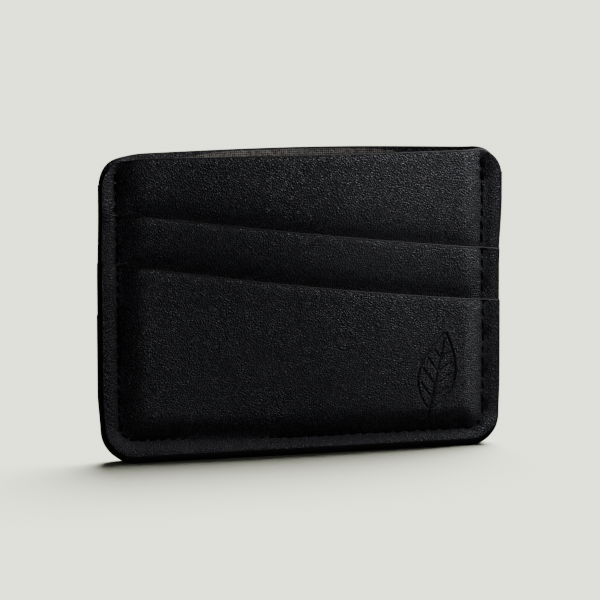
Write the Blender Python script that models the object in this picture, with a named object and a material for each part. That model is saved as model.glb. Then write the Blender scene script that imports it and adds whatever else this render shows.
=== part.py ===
"""Slim black leather card holder: a centre pocket between two panels, and two slanted card slots on each face.

The front faces -Y, the width runs along X and the holder stands on its bottom edge at z = 0. Every panel
and pocket is a thin sheet laid over the one behind it. All sheets share one grid of stations, so that
neighbours keep their small clearance everywhere. Lengths in this file are in millimetres, and MM turns
them into Blender's metres.
"""

import math

import bmesh
import bpy

MM = 0.001

# Outline.
WIDTH = 100.0
FRONT_HEIGHT = 72.5
BACK_RISE = 0.5
BACK_CROWN = 0.5
TOP_RADIUS = 6.5
BOTTOM_RADIUS = 8.2

# Slot mouths on the front face, at its left and right ends. The rear face carries the same pair turned
# half round, so it looks alike from behind.
MIDDLE_MOUTH_LEFT = 60.4
MIDDLE_MOUTH_RIGHT = 47.9
MIDDLE_MOUTH_SAG = 0.45
LOWER_MOUTH_LEFT = 48.4
LOWER_MOUTH_RIGHT = 35.4
LOWER_MOUTH_SAG = 0.85

# Sheets.
LEATHER = 0.6
LINING = 0.15
LAYER_GAP = 0.05
HALF_GAP = 0.03

# Edge paint on every cut edge.
COAT = 0.25
COAT_GAP = 0.05

# Perimeter seam, and the hidden seam that closes each middle pocket's base.
SEAM_INSET = 4.2
SEAM_CORNER_RADIUS = 4.0
SEAM_TOP = 69.0
BASE_SEAM_Z = 11.5
BASE_SEAM_REACH = 0.78
THREAD_WIDTH = 0.5
THREAD_THICKNESS = 0.2
HIDDEN_THREAD_THICKNESS = 0.14
THREAD_CLEARANCE = 0.1

# How far the sheets stand off each other inside the seam, and how far each panel bows at its mouth.
FLANK_START = 0.9
FLANK_WIDTH = 6.0
CAVITY_HALF = 0.6
LINING_EASE = 0.3
POCKET_EASE = 0.35
FRONT_BOW = 2.5
BACK_BOW = 5.0
BOW_START_Z = 24.0
BOW_POWER = 1.5
BOW_FULLNESS = 1.4
BOW_SKEW = 5.0

# Length of the ramp with which a thread or coat comes down past the edge of a slot mouth.
STEP_CLEARANCE = 0.1
STEP_RAMP = 0.6

# Grid stations: shares of the half width, and steps round a corner.
COLUMN_SHARES = [0.0, 0.2, 0.4, 0.6, 0.78, 0.84, 0.893, 1.0]
CORNER_STEPS = 3

FRONT = -1.0
REAR = 1.0


def clamp(value):
    """The value held between 0 and 1."""
    return max(0.0, min(1.0, value))


def ease(value):
    """A smooth rise from 0 to 1."""
    held = clamp(value)
    return held * held * (3.0 - 2.0 * held)


def mouth_line(left, right, sag, x, side):
    """Height of a slot mouth at x: a straight slant with a slight sag, turned half round on the rear."""
    across = x if side == FRONT else -x
    share = clamp(0.5 + across / WIDTH)
    return left + (right - left) * share - sag * 4.0 * share * (1.0 - share)


def middle_mouth(x, side):
    """Height of the middle pocket's mouth at x."""
    return mouth_line(MIDDLE_MOUTH_LEFT, MIDDLE_MOUTH_RIGHT, MIDDLE_MOUTH_SAG, x, side)


def lower_mouth(x, side):
    """Height of the lower pocket's mouth at x."""
    return mouth_line(LOWER_MOUTH_LEFT, LOWER_MOUTH_RIGHT, LOWER_MOUTH_SAG, x, side)


def side_height(side):
    """Height of a panel at its corners."""
    return FRONT_HEIGHT if side == FRONT else FRONT_HEIGHT + BACK_RISE


def crown(x, side):
    """Extra height of the back panel towards mid-width."""
    return 0.0 if side == FRONT else BACK_CROWN * math.cos(math.pi * x / WIDTH)


def inside_seam(x, z):
    """Distance from the seam line towards the middle of the face, negative out on the margin."""
    corner_x = WIDTH / 2 - SEAM_INSET - SEAM_CORNER_RADIUS
    corner_z = SEAM_INSET + SEAM_CORNER_RADIUS
    past_x = abs(x) - corner_x
    past_z = corner_z - z
    if past_x > 0.0 and past_z > 0.0:
        return SEAM_CORNER_RADIUS - math.hypot(past_x, past_z)
    return SEAM_CORNER_RADIUS - max(past_x, past_z)


def puff(x, z):
    """Share of the full stand-off between sheets: 0 on the pressed margin, 1 over the body."""
    return ease((inside_seam(x, z) - FLANK_START) / FLANK_WIDTH)


def bow(x, z):
    """Share of the mouth bow: 1 at the top of the panel, just right of the middle."""
    reach = WIDTH / 2 - SEAM_INSET
    if abs(x) >= reach:
        return 0.0
    shifted = x - BOW_SKEW * (1.0 - (x / reach) ** 2)
    across = math.cos(math.pi * shifted / (2.0 * reach)) ** BOW_FULLNESS
    upward = clamp((z - BOW_START_Z) / (FRONT_HEIGHT - BOW_START_Z))
    return across * upward**BOW_POWER


def cavity_face(x, z, side):
    """Distance from the middle plane to the lining's inner face."""
    depth = FRONT_BOW if side == FRONT else BACK_BOW
    return HALF_GAP + CAVITY_HALF * puff(x, z) + depth * bow(x, z)


def lining_outer(x, z, side):
    return cavity_face(x, z, side) + LINING


def panel_inner(x, z, side):
    return lining_outer(x, z, side) + LAYER_GAP + LINING_EASE * puff(x, z)


def panel_outer(x, z, side):
    return panel_inner(x, z, side) + LEATHER


def middle_inner(x, z, side):
    return panel_outer(x, z, side) + LAYER_GAP + POCKET_EASE * puff(x, z)


def middle_outer(x, z, side):
    return middle_inner(x, z, side) + LEATHER


def lower_inner(x, z, side):
    return middle_outer(x, z, side) + LAYER_GAP + POCKET_EASE * puff(x, z)


def lower_outer(x, z, side):
    return lower_inner(x, z, side) + LEATHER


def corner_angles():
    """Angles round one corner, from 0 to a quarter turn."""
    return [math.pi / 2 * step / CORNER_STEPS for step in range(CORNER_STEPS + 1)]


def bottom_arc(inset):
    """(half width, height) round a bottom corner, from the bottom edge up to the side."""
    radius = BOTTOM_RADIUS - inset
    centre_x = WIDTH / 2 - BOTTOM_RADIUS
    return [
        (centre_x + radius * math.sin(angle), BOTTOM_RADIUS - radius * math.cos(angle))
        for angle in corner_angles()
    ]


def top_arc(inset, side):
    """(half width, height) round a top corner, from the side up to the top edge."""
    radius = TOP_RADIUS - inset
    centre_x = WIDTH / 2 - TOP_RADIUS
    centre_z = side_height(side) - TOP_RADIUS
    return [
        (centre_x + radius * math.cos(angle), centre_z + radius * math.sin(angle))
        for angle in corner_angles()
    ]


def rows_up_to(layer, side):
    """Grid rows of a layer from the bottom up, each a function from a column's share to (x, z)."""
    inset = COAT + COAT_GAP
    side_x = WIDTH / 2 - inset

    def level(half_width, height):
        return lambda share: (share * half_width, height)

    def between(low, high, part):
        return lambda share: (
            share * side_x,
            low(share * side_x) + part * (high(share * side_x) - low(share * side_x)),
        )

    def base_seam(_):
        return BASE_SEAM_Z

    def lower_edge(x):
        return lower_mouth(x, side) - inset

    def middle_edge(x):
        return middle_mouth(x, side) - inset

    def shoulder(_):
        return side_height(side) - TOP_RADIUS

    rows = [level(*point) for point in bottom_arc(inset)]
    rows += [between(base_seam, lower_edge, part) for part in (0.0, 0.3, 0.65, 1.0)]
    if layer != "lower":
        rows += [between(lower_edge, middle_edge, part) for part in (0.5, 1.0)]
    if layer == "panel":
        rows.append(between(middle_edge, shoulder, 0.5))
        for half_width, height in top_arc(inset, side):
            lift = (height - shoulder(0.0)) / (TOP_RADIUS - inset)
            rows.append(
                lambda share, half_width=half_width, height=height, lift=lift: (
                    share * half_width,
                    height + lift * crown(share * half_width, side),
                )
            )
    return rows


def columns():
    """Shares of the half width across a sheet, from left to right."""
    return [-share for share in reversed(COLUMN_SHARES[1:])] + COLUMN_SHARES


def solid_from_grid(name, places, faces_y):
    """A closed sheet over a grid.

    places[row][column] is an (x, z), and faces_y gives the two y values there. The grid is triangulated
    while it is flat, so that every layer splits its cells alike.
    """
    last_row = len(places) - 1
    last_column = len(places[0]) - 1
    bm = bmesh.new()
    bmesh.ops.create_grid(bm, x_segments=last_column, y_segments=last_row, size=1.0)
    for vert in bm.verts:
        column = round((vert.co.x + 1.0) / 2.0 * last_column)
        row = round((vert.co.y + 1.0) / 2.0 * last_row)
        x, z = places[row][column]
        vert.co = (x * MM, 0.0, z * MM)
    bmesh.ops.triangulate(bm, faces=bm.faces[:], quad_method="FIXED")
    near_side = list(bm.verts)
    extruded = bmesh.ops.extrude_face_region(bm, geom=bm.faces[:])
    far_side = [item for item in extruded["geom"] if isinstance(item, bmesh.types.BMVert)]
    for verts, pick in ((near_side, 0), (far_side, 1)):
        for vert in verts:
            vert.co.y = faces_y(vert.co.x / MM, vert.co.z / MM)[pick] * MM
    bmesh.ops.triangulate(bm, faces=bm.faces[:])
    bmesh.ops.recalc_face_normals(bm, faces=bm.faces[:])
    mesh = bpy.data.meshes.new(name)
    bm.to_mesh(mesh)
    bm.free()
    return mesh


def add_object(name, mesh, material):
    """Put a finished mesh in the scene with its material."""
    mesh.materials.append(material)
    mesh.shade_smooth()
    mesh.set_sharp_from_angle(angle=math.radians(35))
    node = bpy.data.objects.new(name, mesh)
    bpy.context.scene.collection.objects.link(node)
    return node


def add_sheet(name, material, side, layer, inner, outer):
    """One leather or fabric sheet that follows the layers under it."""
    places = [[row(share) for share in columns()] for row in rows_up_to(layer, side)]
    mesh = solid_from_grid(
        name, places, lambda x, z: (side * inner(x, z, side), side * outer(x, z, side))
    )
    return add_object(name, mesh, material)


def add_band(name, material, inner_path, outer_path, faces_y):
    """A narrow strip between two matching paths, with its own front and back."""
    return add_object(name, solid_from_grid(name, [inner_path, outer_path], faces_y), material)


def step_height(x, z, side):
    """How far the pressed margin stands out at a height, ramping down just above each slot mouth."""
    height = panel_outer(x, z, side)
    for mouth in (lower_mouth, middle_mouth):
        above = z - mouth(x, side) - STEP_CLEARANCE
        height += (LEATHER + LAYER_GAP) * (1.0 - clamp(above / STEP_RAMP))
    return height


def step_stations(x, low, high):
    """Heights at which a strip up one side bends, because a slot mouth starts or ends there."""
    heights = [low, high]
    for side in (FRONT, REAR):
        for mouth in (lower_mouth, middle_mouth):
            start = mouth(x, side) + STEP_CLEARANCE
            heights += [start, start + STEP_RAMP]
    return sorted(height for height in heights if low <= height <= high)


def perimeter_path(inset, top):
    """Points down the left side, round the bottom and up the right side, at a distance in from the edge."""
    side_x = WIDTH / 2 - inset
    arc = bottom_arc(inset)
    left = [(-side_x, height) for height in step_stations(-side_x, BOTTOM_RADIUS, top)[::-1]]
    left += [(-half_width, height) for half_width, height in arc[-2::-1]]
    right = [(half_width, height) for half_width, height in arc[:-1]]
    right += [(side_x, height) for height in step_stations(side_x, BOTTOM_RADIUS, top)]
    return left + right


def mouth_path(edge, side, drop):
    """Points along a slot mouth, a distance below its edge."""
    side_x = WIDTH / 2
    return [(share * side_x, edge(share * side_x, side) - drop) for share in columns()]


def rim_path(side, inset):
    """Points over the top of a panel, from one shoulder round to the other."""
    arc = top_arc(inset, side)
    shoulder_z = arc[0][1]
    path = []
    for half_width, height in arc[:-1]:
        lift = (height - shoulder_z) / (TOP_RADIUS - inset)
        path.append((-half_width, height + lift * crown(half_width, side)))
    half_width, height = arc[-1]
    top = [(share * half_width, height) for share in columns()]
    top = [(x, z + crown(x, side)) for x, z in top]
    return path + top + [(-x, z) for x, z in reversed(path)]


def seam_path(offset):
    """Points along the perimeter seam, moved in from its centre line by an offset."""
    radius = SEAM_CORNER_RADIUS - offset
    corner_x = WIDTH / 2 - SEAM_INSET - SEAM_CORNER_RADIUS
    corner_z = SEAM_INSET + SEAM_CORNER_RADIUS
    side_x = corner_x + radius
    arc = [
        (corner_x + radius * math.sin(angle), corner_z - radius * math.cos(angle))
        for angle in corner_angles()
    ]
    path = [(-side_x, height) for height in step_stations(-side_x, corner_z, SEAM_TOP)[::-1]]
    path += [(-x, z) for x, z in arc[-2::-1]]
    path += arc[:-1]
    path += [(side_x, height) for height in step_stations(side_x, corner_z, SEAM_TOP)]
    return path


def make_material(name, colour, roughness):
    """A plain dielectric finish."""
    material = bpy.data.materials.new(name)
    material.use_nodes = True
    shader = material.node_tree.nodes["Principled BSDF"]
    shader.inputs["Base Color"].default_value = (*colour, 1.0)
    shader.inputs["Roughness"].default_value = roughness
    shader.inputs["Metallic"].default_value = 0.0
    return material


def build_perimeter_edge_paint(material):
    """The coat that closes the stacked edges down both sides and along the bottom."""
    top = FRONT_HEIGHT - TOP_RADIUS
    add_band(
        "perimeter_edge_paint",
        material,
        perimeter_path(COAT, top),
        perimeter_path(0.0, top),
        lambda x, z: (-step_height(x, z, FRONT), step_height(x, z, REAR)),
    )


def build_rim_edge_paint(prefix, material, side):
    """The coat over a panel's top edge, which also covers its lining's edge."""

    def start_above_perimeter(path):
        lowest = FRONT_HEIGHT - TOP_RADIUS + 2.0 * COAT_GAP
        return [(x, max(z, lowest)) for x, z in path]

    add_band(
        f"{prefix}_panel_edge_paint",
        material,
        start_above_perimeter(rim_path(side, COAT)),
        start_above_perimeter(rim_path(side, 0.0)),
        lambda x, z: (side * cavity_face(x, z, side), side * panel_outer(x, z, side)),
    )


def build_mouth_edge_paint(name, material, side, edge, inner, outer):
    """The coat along a slot mouth's cut edge, between the two ends of the perimeter coat."""
    limit = WIDTH / 2 - COAT - COAT_GAP

    def held(path):
        return [(max(-limit, min(limit, x)), z) for x, z in path]

    add_band(
        name,
        material,
        held(mouth_path(edge, side, COAT)),
        held(mouth_path(edge, side, 0.0)),
        lambda x, z: (side * inner(x, z, side), side * outer(x, z, side)),
    )


def build_perimeter_thread(name, material, side):
    """The thread that lies in the stitch line round one face."""

    def faces_y(x, z):
        base = step_height(x, z, side) + THREAD_CLEARANCE
        return side * base, side * (base + THREAD_THICKNESS)

    half = THREAD_WIDTH / 2
    add_band(name, material, seam_path(half), seam_path(-half), faces_y)


def build_base_thread(name, material, side, under, thickness):
    """A thread of the hidden seam across the foot of a middle pocket."""

    def faces_y(x, _):
        base = under(x, BASE_SEAM_Z, side) + THREAD_CLEARANCE
        return side * base, side * (base + thickness)

    def line(z):
        side_x = WIDTH / 2 - COAT - COAT_GAP
        return [(share * side_x, z) for share in columns() if abs(share) <= BASE_SEAM_REACH]

    half = THREAD_WIDTH / 2
    add_band(name, material, line(BASE_SEAM_Z - half), line(BASE_SEAM_Z + half), faces_y)


def build_face(prefix, side, leather, fabric, paint, thread):
    """Everything on one side of the centre pocket, from the lining out to the lower pocket."""
    add_sheet(f"{prefix}_panel_lining", fabric, side, "panel", cavity_face, lining_outer)
    add_sheet(f"{prefix}_panel", leather, side, "panel", panel_inner, panel_outer)
    add_sheet(f"{prefix}_middle_pocket", leather, side, "middle", middle_inner, middle_outer)
    add_sheet(f"{prefix}_lower_pocket", leather, side, "lower", lower_inner, lower_outer)
    build_rim_edge_paint(prefix, paint, side)
    build_mouth_edge_paint(
        f"{prefix}_middle_edge_paint", paint, side, middle_mouth, middle_inner, middle_outer
    )
    build_mouth_edge_paint(
        f"{prefix}_lower_edge_paint", paint, side, lower_mouth, lower_inner, lower_outer
    )
    build_base_thread(
        f"{prefix}_pocket_base_needle_thread", thread, side, middle_outer, THREAD_THICKNESS
    )
    build_base_thread(
        f"{prefix}_pocket_base_bobbin_thread", thread, side, lining_outer, HIDDEN_THREAD_THICKNESS
    )


def main():
    for item in list(bpy.data.objects):
        bpy.data.objects.remove(item, do_unlink=True)
    leather = make_material("black_calf_leather", (0.012, 0.012, 0.014), 0.5)
    fabric = make_material("grey_woven_lining", (0.1, 0.095, 0.088), 0.9)
    paint = make_material("black_edge_paint", (0.008, 0.008, 0.009), 0.35)
    thread = make_material("black_polyester_thread", (0.01, 0.01, 0.011), 0.6)
    for prefix, side in (("front", FRONT), ("rear", REAR)):
        build_face(prefix, side, leather, fabric, paint, thread)
    build_perimeter_edge_paint(paint)
    build_perimeter_thread("perimeter_needle_thread", thread, FRONT)
    build_perimeter_thread("perimeter_bobbin_thread", thread, REAR)


main()
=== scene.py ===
"""Slim black leather card holder: the finished look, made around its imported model.

The holder stands on its bottom edge with its front to -Y. Two lined leather panels form the centre pocket,
each face carries two slanted card slots, and one seam runs down both sides and along the bottom. Lengths in
this file are in millimetres until a mesh is placed, and MM turns them into metres.
"""

import logging
import math
from bisect import bisect_left
from collections.abc import Callable, Iterable
from dataclasses import dataclass, field
from enum import Enum

import bmesh
import bpy
from mathutils import Matrix, Vector, noise


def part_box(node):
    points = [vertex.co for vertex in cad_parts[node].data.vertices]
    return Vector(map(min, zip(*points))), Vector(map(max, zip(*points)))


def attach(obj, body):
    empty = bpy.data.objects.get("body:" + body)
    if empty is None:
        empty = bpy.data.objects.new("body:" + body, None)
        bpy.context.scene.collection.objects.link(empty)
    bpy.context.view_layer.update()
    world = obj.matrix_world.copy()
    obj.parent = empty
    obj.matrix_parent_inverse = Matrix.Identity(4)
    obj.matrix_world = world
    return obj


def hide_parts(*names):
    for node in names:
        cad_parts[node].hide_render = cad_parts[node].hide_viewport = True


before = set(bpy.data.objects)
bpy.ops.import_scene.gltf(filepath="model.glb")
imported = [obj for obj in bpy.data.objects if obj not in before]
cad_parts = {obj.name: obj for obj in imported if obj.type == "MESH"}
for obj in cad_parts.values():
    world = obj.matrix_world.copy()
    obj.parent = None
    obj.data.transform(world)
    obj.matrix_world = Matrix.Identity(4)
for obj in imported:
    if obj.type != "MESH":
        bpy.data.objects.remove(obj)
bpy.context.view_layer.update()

MM = 0.001
BODY = "root"
Run = list[tuple[float, float, float]]
LOG = logging.getLogger("card_holder")


class Side(Enum):
    """The two faces of the holder, by the sign of their outward direction along Y."""

    FRONT = -1
    REAR = 1


class Layer(Enum):
    """The leather sheets of one face, counted outwards."""

    PANEL = 0
    MIDDLE = 1
    LOWER = 2


def clamp(value: float, low: float = 0.0, high: float = 1.0) -> float:
    """The value held between two limits."""
    return max(low, min(high, value))


def ease(value: float) -> float:
    """A smooth rise from 0 to 1."""
    held = clamp(value)
    return held * held * (3.0 - 2.0 * held)


def bell(value: float, width: float) -> float:
    """A smooth hump of height 1 at 0, falling off over a width."""
    return math.exp(-((value / width) ** 2))


def inside_u(x: float, z: float, reach: float, foot: float, radius: float) -> float:
    """Distance inwards from a U-shaped line: two sides, a bottom and two turns.

    Args:
        x: Place across the width.
        z: Height.
        reach: Distance of the sides from the middle.
        foot: Height of the bottom.
        radius: Radius of the turns.

    Returns:
        The distance, negative outside the U.
    """
    past_x = abs(x) - (reach - radius)
    past_z = foot + radius - z
    if past_x > 0.0 and past_z > 0.0:
        return radius - math.hypot(past_x, past_z)
    return radius - max(past_x, past_z)


@dataclass(frozen=True)
class SeamLine:
    """The U-shaped seam: down one side, along the bottom and up the other.

    Attributes:
        reach: Distance of the side runs from the middle.
        foot: Height of the bottom run.
        top: Height at which both side runs end.
        radius: Radius of the two turns.
        short_pitch: Stitch length down the left side and on the left of the bottom run.
        long_pitch: Stitch length on the right side.
        lift: How much higher the bottom run sits at its left end, where the sewing wandered.
        lift_from: Where across the width that rise begins.
        lift_power: How steeply the rise grows towards the left end.
        lift_fade: Height over which the rise fades out up the side.
        first_hole: Distance along the seam of its first needle hole.
        lengthening: Shares of the seam between which the stitches grow longer.
    """

    reach: float
    foot: float
    top: float
    radius: float = 4.0
    short_pitch: float = 2.45
    long_pitch: float = 3.0
    lift: float = 1.3
    lift_from: float = 10.0
    lift_power: float = 1.5
    lift_fade: float = 16.0
    first_hole: float = 0.4
    lengthening: tuple[float, float] = (0.45, 0.62)

    @property
    def side_length(self) -> float:
        """Length of one straight side run."""
        return self.top - self.foot - self.radius

    @property
    def turn_length(self) -> float:
        """Length of one turn."""
        return self.radius * math.pi / 2.0

    @property
    def length(self) -> float:
        """Length of the whole seam."""
        return 2.0 * (self.side_length + self.turn_length) + 2.0 * (self.reach - self.radius)

    def rise(self, x: float, z: float) -> float:
        """How far the sewing wandered upwards from an even line."""
        share = clamp((self.lift_from - x) / (self.lift_from + self.reach)) ** self.lift_power
        return self.lift * share * (1.0 - ease((z - self.foot) / self.lift_fade))

    def locate(self, x: float, z: float) -> tuple[float, float]:
        """Where a point lies beside the seam.

        Args:
            x: Place across the width.
            z: Height.

        Returns:
            The distance inwards from the seam, negative on the margin, and the distance along it.
        """
        even_z = z
        # The rise is known by the even height, so the even height is found in a few steps.
        for _ in range(3):
            even_z = z - self.rise(x, even_z)
        inward = inside_u(x, even_z, self.reach, self.foot, self.radius)
        past_x = abs(x) - (self.reach - self.radius)
        past_z = self.foot + self.radius - even_z
        if past_x > 0.0 and past_z > 0.0:
            along = self.side_length + self.radius * math.atan2(past_z, past_x)
        elif past_x > past_z:
            along = self.top - even_z
        else:
            along = self.side_length + self.turn_length - past_x
        return inward, along if x < 0.0 else self.length - along

    def point(self, along: float, inward: float = 0.0) -> tuple[float, float]:
        """The (x, z) at a distance along the seam and inwards from it."""
        mirrored = along > self.length / 2.0
        run = self.length - along if mirrored else along
        radius = self.radius - inward
        centre_x = self.reach - self.radius
        centre_z = self.foot + self.radius
        if run < self.side_length:
            x, z = centre_x + radius, self.top - run
        elif run < self.side_length + self.turn_length:
            angle = (run - self.side_length) / self.radius
            x, z = centre_x + radius * math.cos(angle), centre_z - radius * math.sin(angle)
        else:
            x, z = centre_x - (run - self.side_length - self.turn_length), centre_z - radius
        x = x if mirrored else -x
        return x, z + self.rise(x, z)

    def holes(self) -> list[float]:
        """Distances along the seam of the needle holes, whose spacing grows towards the right."""
        start, end = (self.length * share for share in self.lengthening)
        places = [self.first_hole]
        while places[-1] < self.length - self.long_pitch:
            share = ease((places[-1] - start) / (end - start))
            places.append(places[-1] + self.short_pitch + share * (self.long_pitch - self.short_pitch))
        return places


@dataclass(frozen=True)
class LeafMark:
    """A plain leaf pressed into the leather, in outline with a midrib and side veins.

    Attributes:
        centre_x: Its middle across the width.
        centre_z: Height of its middle.
        height: Length of the blade.
        width: Width of the blade.
        belly: Moves the blade's widest part below its middle, the more so the smaller it is.
        fullness: Roundness of the blade's sides.
        tilt: Lean from upright.
        line: Half width of a pressed line.
        depth: Depth of a pressed line.
        floor: Depth of the blade between its lines, as a share of a line's.
        floor_fade: Distance in from the outline at which the blade is that deep.
        stem: Length of the stem below the blade.
        tip_gap: How far the midrib stops short of the tip.
        veins: Number of side veins on each half.
        vein_rise: Angle of a side vein above level.
        vein_span: Share of the blade's height that the veins start from.
        vein_foot: Where the lowest vein starts below the middle, as a share of the height.
        vein_gap: How far a side vein stops short of the outline.
        outline_weight: Width of the outline against the midrib, as its inverse.
        vein_weight: The same for a side vein.
    """

    centre_x: float = 33.2
    centre_z: float = 19.0
    height: float = 19.0
    width: float = 9.4
    belly: float = 0.82
    fullness: float = 0.9
    tilt: float = math.radians(-12.0)
    line: float = 0.24
    depth: float = 0.34
    floor: float = 0.22
    floor_fade: float = 0.8
    stem: float = 2.2
    tip_gap: float = 1.5
    veins: int = 4
    vein_rise: float = math.radians(42.0)
    vein_span: float = 0.7
    vein_foot: float = 0.36
    vein_gap: float = 0.7
    outline_weight: float = 0.92
    vein_weight: float = 1.25

    def half_width(self, up: float) -> float:
        """Half the blade's width at a height from its middle."""
        share = clamp(up / self.height + 0.5)
        return self.width / 2.0 * math.sin(math.pi * share**self.belly) ** self.fullness

    def vein_distance(self, across: float, up: float) -> float:
        """Weighted distance from the nearest side vein."""
        spacing = self.height * self.vein_span / self.veins
        lift = up + self.height * self.vein_foot - across * math.tan(self.vein_rise)
        nearest = clamp(round(lift / spacing), 0, self.veins - 1)
        return abs(lift - nearest * spacing) * math.cos(self.vein_rise) * self.vein_weight

    def press(self, x: float, z: float) -> float:
        """How deep the leather is pressed at a point."""
        along_x = x - self.centre_x
        along_z = z - self.centre_z
        across = abs(along_x * math.cos(self.tilt) + along_z * math.sin(self.tilt))
        up = -along_x * math.sin(self.tilt) + along_z * math.cos(self.tilt)
        tip = self.height / 2.0
        if across > self.width or abs(up) > tip + self.stem + 1.0:
            return 0.0
        half = self.half_width(up)
        gaps = []
        if abs(up) <= tip:
            gaps.append(abs(across - half) * self.outline_weight)
        if -tip - self.stem < up < tip - self.tip_gap:
            gaps.append(across)
        if across < half - self.vein_gap:
            gaps.append(self.vein_distance(across, up))
        inside = self.floor * ease((half - across) / self.floor_fade) if gaps else 0.0
        return self.depth * max(inside, max((bell(gap, self.line) for gap in gaps), default=0.0))


@dataclass(frozen=True)
class Form:
    """The shape that every sheet follows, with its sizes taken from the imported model.

    Attributes:
        width: Overall width.
        front_height: Height of the front panel.
        rear_height: Height of the rear panel at its corners.
        rear_crest: Height of the rear panel at mid-width.
        middle_mouth: Heights of the middle slot's mouth at the left and right of the face.
        lower_mouth: The same for the lower slot.
        seam: The perimeter seam.
        middle_sag: How far the middle slot's mouth sags at mid-width.
        lower_sag: The same for the lower slot.
        top_radius: Radius of the panels' top corners.
        bottom_radius: Radius of the bottom corners.
        leather: Thickness of a leather sheet.
        lining: Thickness of the lining.
        layer_gap: Space between two layers.
        half_gap: Half the space between the two linings.
        edge_inset: How far the sheets stop short of the painted outline.
        cavity_half: Half the room that the centre pocket keeps for cards.
        lining_ease: How far a panel stands off from that room.
        pocket_ease: How much further each pocket stands off.
        lip_flare: How far a pocket's top leans out.
        lip_reach: Height below the mouth over which it does.
        lip_turn: How far the last of the mouth turns back in.
        lip_turn_reach: Height over which it turns.
        tuck: How far the middle sheet tucks in behind the lower pocket.
        tuck_reach: Height above the mouth over which it does.
        panel_tuck: The panel's tuck behind the middle pocket, as a share of that.
        panel_tuck_reach: The same for its height.
        flank_start: Distance in from the seam at which a face begins to swell.
        flank: Width of the swelling's rounded side.
        flank_power: Its roundness.
        front_bow: How far the front bows out at the open top.
        rear_bow: The same for the rear.
        bow_foot: Height at which the bow begins.
        front_bow_rise: Height over which the front reaches most of its bow.
        rear_bow_rise: The same for the rear.
        bow_skew: How far to the right of the middle the bow is fullest.
        bow_power: How sharply it falls off to the sides.
        edge_round: Radius of a sheet's rounded outer edge.
        bevel: Width and depth of the stack's rounded edge up the sides.
        bottom_bevel: Width of the rounded edge along the bottom.
        bottom_drop: Its depth there.
        flare: How far the top right corner leans out.
        flare_from: Height at which the top corners begin to lean.
        flare_rise: Height over which they come to lean fully.
        left_shoulder: How far the top left corner leans in.
        left_droop: How far it droops.
        left_droop_place: Where across the width it droops, and how widely.
        right_rise: How far the top right corner lifts.
        right_rise_place: Where across the width it lifts, and how widely.
        left_taper: How far the bottom left corner is drawn in.
        right_taper: The same for the bottom right corner.
        taper_from: Height below which the bottom corners are drawn in.
        taper_rise: Height over which that grows.
        lean_start: How far inside the seam the corners' lean begins.
        lean_width: Width over which it grows.
        waviness: Height of the leather's slow unevenness.
        wave_size: Its size across and up.
        wave_shift: How far apart the two faces' unevenness is read.
        margin_width: Width of the margin outside the seam.
        roll_start: Distance outside the seam at which the margin begins to swell.
        side_roll: Slope of the swelling up the left side.
        right_roll: The same up the right side.
        bottom_roll: The same along the bottom.
        shoulder_roll: The same at the left shoulder.
        shoulder_from: Height at which the shoulder begins.
        shoulder_rise: Height over which its swelling grows.
        front_fall: How far the front panel's top edge lies below its height, at the left and right.
        rear_fall: The same for the rear panel.
        leaf: The leaf pressed into the lower pocket.
    """

    width: float
    front_height: float
    rear_height: float
    rear_crest: float
    middle_mouth: tuple[float, float]
    lower_mouth: tuple[float, float]
    seam: SeamLine
    middle_sag: float = 0.45
    lower_sag: float = 0.85
    top_radius: float = 6.5
    bottom_radius: float = 8.0
    leather: float = 0.6
    lining: float = 0.15
    layer_gap: float = 0.05
    half_gap: float = 0.03
    edge_inset: float = 0.3
    cavity_half: float = 0.6
    lining_ease: float = 0.75
    pocket_ease: float = 0.22
    lip_flare: float = 0.16
    lip_reach: float = 5.0
    lip_turn: float = 0.24
    lip_turn_reach: float = 1.1
    tuck: float = 1.75
    tuck_reach: float = 4.0
    panel_tuck: float = 0.75
    panel_tuck_reach: float = 0.8
    flank_start: float = 0.6
    flank: float = 5.3
    flank_power: float = 1.6
    front_bow: float = 2.5
    rear_bow: float = 5.0
    bow_foot: float = 5.0
    front_bow_rise: float = 18.0
    rear_bow_rise: float = 45.0
    bow_skew: float = 5.0
    bow_power: float = 1.4
    edge_round: float = 0.3
    bevel: float = 0.38
    bottom_bevel: float = 1.75
    bottom_drop: float = 0.6
    flare: float = 0.85
    flare_from: float = 43.0
    flare_rise: float = 18.0
    left_shoulder: float = 0.32
    left_droop: float = 0.6
    left_droop_place: tuple[float, float] = (-44.8, 3.6)
    right_rise: float = 0.36
    right_rise_place: tuple[float, float] = (46.5, 3.2)
    left_taper: float = 0.65
    right_taper: float = 0.3
    taper_from: float = 17.0
    taper_rise: float = 11.0
    lean_start: float = 2.0
    lean_width: float = 6.0
    waviness: float = 0.16
    wave_size: tuple[float, float] = (21.0, 17.0)
    wave_shift: float = 3.7
    margin_width: float = 3.4
    roll_start: float = 0.3
    side_roll: float = 0.18
    right_roll: float = 0.05
    bottom_roll: float = 0.56
    shoulder_roll: float = 0.6
    shoulder_from: float = 55.0
    shoulder_rise: float = 7.0
    front_fall: tuple[float, float] = (0.0, 0.34)
    rear_fall: tuple[float, float] = (-0.32, 0.5)
    leaf: LeafMark = field(default_factory=LeafMark)

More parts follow.
